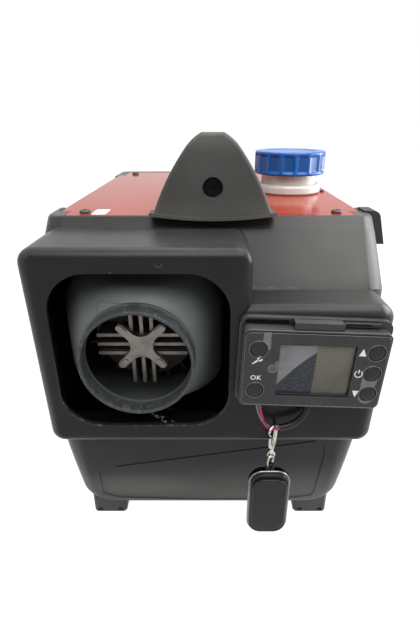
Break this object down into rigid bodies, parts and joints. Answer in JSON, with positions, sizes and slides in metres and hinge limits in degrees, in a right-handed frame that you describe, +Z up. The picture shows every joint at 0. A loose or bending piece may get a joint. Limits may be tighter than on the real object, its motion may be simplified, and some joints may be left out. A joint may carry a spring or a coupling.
{
  "type": "portable diesel air heater",
  "caption": "Portable diesel air heater: painted steel case, moulded end cowls, top handle, fuel tank with screw cap, round warm-air collar and push-button controller with hanging key fob",
  "frame": {"origin": "on the floor under the middle of the whole heater", "axes": "+Z up, the warm-air outlet looks along -Y, +X is to the right seen from the front"},
  "size_m": [0.2634, 0.4006, 0.3405],
  "materials": {
    "cowl_plastic": "satin moulded",
    "red_paint": "high gloss enamel",
    "black_steel": "black coated",
    "foot_plastic": "matt moulded",
    "handle_plastic": "satin moulded",
    "steel": "brushed",
    "hood_plastic": "fine grained",
    "cast_aluminium": "as cast",
    "tank_plastic": "translucent moulded",
    "seal_rubber": "matt",
    "hose_rubber": "matt",
    "cap_plastic": "glossy moulded",
    "controller_plastic": "semi gloss",
    "lens_plastic": "high gloss",
    "lcd_glass": "clear",
    "board_laminate": "laminate",
    "button_rubber": "satin",
    "sleeve_rubber": "glossy",
    "red_wire_rubber": "glossy",
    "grey_wire_rubber": "glossy",
    "chrome": "polished",
    "fob_plastic": "glossy"
  },
  "bodies": {
    "case": {"front_cowl": "cowl_plastic", "rear_cowl": "cowl_plastic", "casing": "red_paint", "top_plate": "red_paint", "case_screws": "black_steel", "feet": "foot_plastic", "handle_front_fin": "handle_plastic", "handle_rear_fin": "handle_plastic", "handle_grip": "handle_plastic", "handle_bolts": "steel", "shoulder_guard": "cowl_plastic", "intake_grille": "handle_plastic", "power_socket": "handle_plastic", "outlet_hood": "hood_plastic", "jacket_upper": "hood_plastic", "jacket_lower": "hood_plastic", "heat_exchanger": "cast_aluminium", "burner_tube": "steel", "blower_housing": "cast_aluminium", "glow_plug": "steel", "motor": "steel", "core_cradle": "black_steel", "exhaust_pipe": "steel", "air_pipe": "handle_plastic", "fuel_tank": "tank_plastic", "neck_ring": "tank_plastic", "fuel_pump": "steel", "pump_mount": "seal_rubber", "fuel_filter": "tank_plastic", "fuel_line": "hose_rubber", "control_unit": "handle_plastic", "controller_back": "controller_plastic", "controller_front": "controller_plastic", "controller_lens": "lens_plastic", "lcd_panel": "lcd_glass", "controller_board": "board_laminate", "lead_sleeve": "sleeve_rubber", "red_wire": "red_wire_rubber", "grey_wire": "grey_wire_rubber"},
    "cap_carrier": {"cap_liner": "seal_rubber"},
    "cap": {"fuel_cap": "cap_plastic"},
    "rotor": {"rotor_shaft": "steel", "burner_impeller": "cast_aluminium", "fan_wheel": "handle_plastic"},
    "plunger": {"pump_plunger": "steel"},
    "clasp": {"clasp_hook": "chrome"},
    "gate": {"clasp_gate": "chrome"},
    "link": {"clasp_link": "chrome"},
    "fob": {"fob_case": "fob_plastic", "fob_frame": "chrome"},
    "cover": {"fob_cover": "fob_plastic"},
    "button_settings": {"button_settings": "button_rubber"},
    "button_ok": {"button_ok": "button_rubber"},
    "button_up": {"button_up": "button_rubber"},
    "button_power": {"button_power": "button_rubber"},
    "button_down": {"button_down": "button_rubber"},
    "fob_button_on": {"fob_button_on": "fob_plastic"},
    "fob_button_off": {"fob_button_off": "fob_plastic"},
    "fob_button_plus": {"fob_button_plus": "fob_plastic"},
    "fob_button_minus": {"fob_button_minus": "fob_plastic"}
  },
  "joints": [
    {"name": "cap_lift", "type": "slide", "parent": "case", "child": "cap_carrier", "axis": [0, 0, 1], "range_m": [0, 0.018]},
    {"name": "cap_turn", "type": "hinge", "parent": "cap_carrier", "child": "cap", "pos_m": [0.075, -0.007, 0.312], "axis": [0, 0, 1], "range_deg": [0, 1080]},
    {"name": "rotor_spin", "type": "hinge", "parent": "case", "child": "rotor", "pos_m": [-0.047, 0.1, 0.206], "axis": [0, 1, 0], "continuous": true},
    {"name": "pump_stroke", "type": "slide", "parent": "case", "child": "plunger", "axis": [1, 0, 0], "range_m": [0, 0.003], "stiffness_N_per_m": 400, "springref_m": -0.001},
    {"name": "press_settings", "type": "slide", "parent": "case", "child": "button_settings", "axis": [0, 1, 0], "range_m": [0, 0.0008], "stiffness_N_per_m": 800, "springref_m": -0.0005},
    {"name": "press_ok", "type": "slide", "parent": "case", "child": "button_ok", "axis": [0, 1, 0], "range_m": [0, 0.0008], "stiffness_N_per_m": 800, "springref_m": -0.0005},
    {"name": "press_up", "type": "slide", "parent": "case", "child": "button_up", "axis": [0, 1, 0], "range_m": [0, 0.0008], "stiffness_N_per_m": 800, "springref_m": -0.0005},
    {"name": "press_power", "type": "slide", "parent": "case", "child": "button_power", "axis": [0, 1, 0], "range_m": [0, 0.0008], "stiffness_N_per_m": 800, "springref_m": -0.0005},
    {"name": "press_down", "type": "slide", "parent": "case", "child": "button_down", "axis": [0, 1, 0], "range_m": [0, 0.0008], "stiffness_N_per_m": 800, "springref_m": -0.0005},
    {"name": "clasp_swing", "type": "hinge", "parent": "case", "child": "clasp", "pos_m": [0.044, -0.195, 0.1502], "axis": [1, 0, 0], "range_deg": [-60, 15]},
    {"name": "gate_open", "type": "hinge", "parent": "clasp", "child": "gate", "pos_m": [0.044, -0.19771, 0.14673], "axis": [-1, 0, 0], "range_deg": [0, 22], "stiffness_Nm_per_rad": 0.002, "springref_deg": -17.19},
    {"name": "link_swing", "type": "hinge", "parent": "clasp", "child": "link", "pos_m": [0.044, -0.195, 0.1281], "axis": [0, 1, 0], "range_deg": [-35, 35]},
    {"name": "fob_swing", "type": "hinge", "parent": "link", "child": "fob", "pos_m": [0.044, -0.195, 0.1181], "axis": [0, 1, 0], "range_deg": [-40, 40]},
    {"name": "cover_slide", "type": "slide", "parent": "fob", "child": "cover", "axis": [0, 0, -1], "range_m": [0, 0.026]},
    {"name": "fob_press_on", "type": "slide", "parent": "fob", "child": "fob_button_on", "axis": [0, 1, 0], "range_m": [0, 0.0005], "stiffness_N_per_m": 600, "springref_m": -0.0005},
    {"name": "fob_press_off", "type": "slide", "parent": "fob", "child": "fob_button_off", "axis": [0, 1, 0], "range_m": [0, 0.0005], "stiffness_N_per_m": 600, "springref_m": -0.0005},
    {"name": "fob_press_plus", "type": "slide", "parent": "fob", "child": "fob_button_plus", "axis": [0, 1, 0], "range_m": [0, 0.0005], "stiffness_N_per_m": 600, "springref_m": -0.0005},
    {"name": "fob_press_minus", "type": "slide", "parent": "fob", "child": "fob_button_minus", "axis": [0, 1, 0], "range_m": [0, 0.0005], "stiffness_N_per_m": 600, "springref_m": -0.0005}
  ],
  "couplings": [
    {"joint": "cap_lift", "follows": "cap_turn", "m_per_rad": 0.00095493}
  ]
}
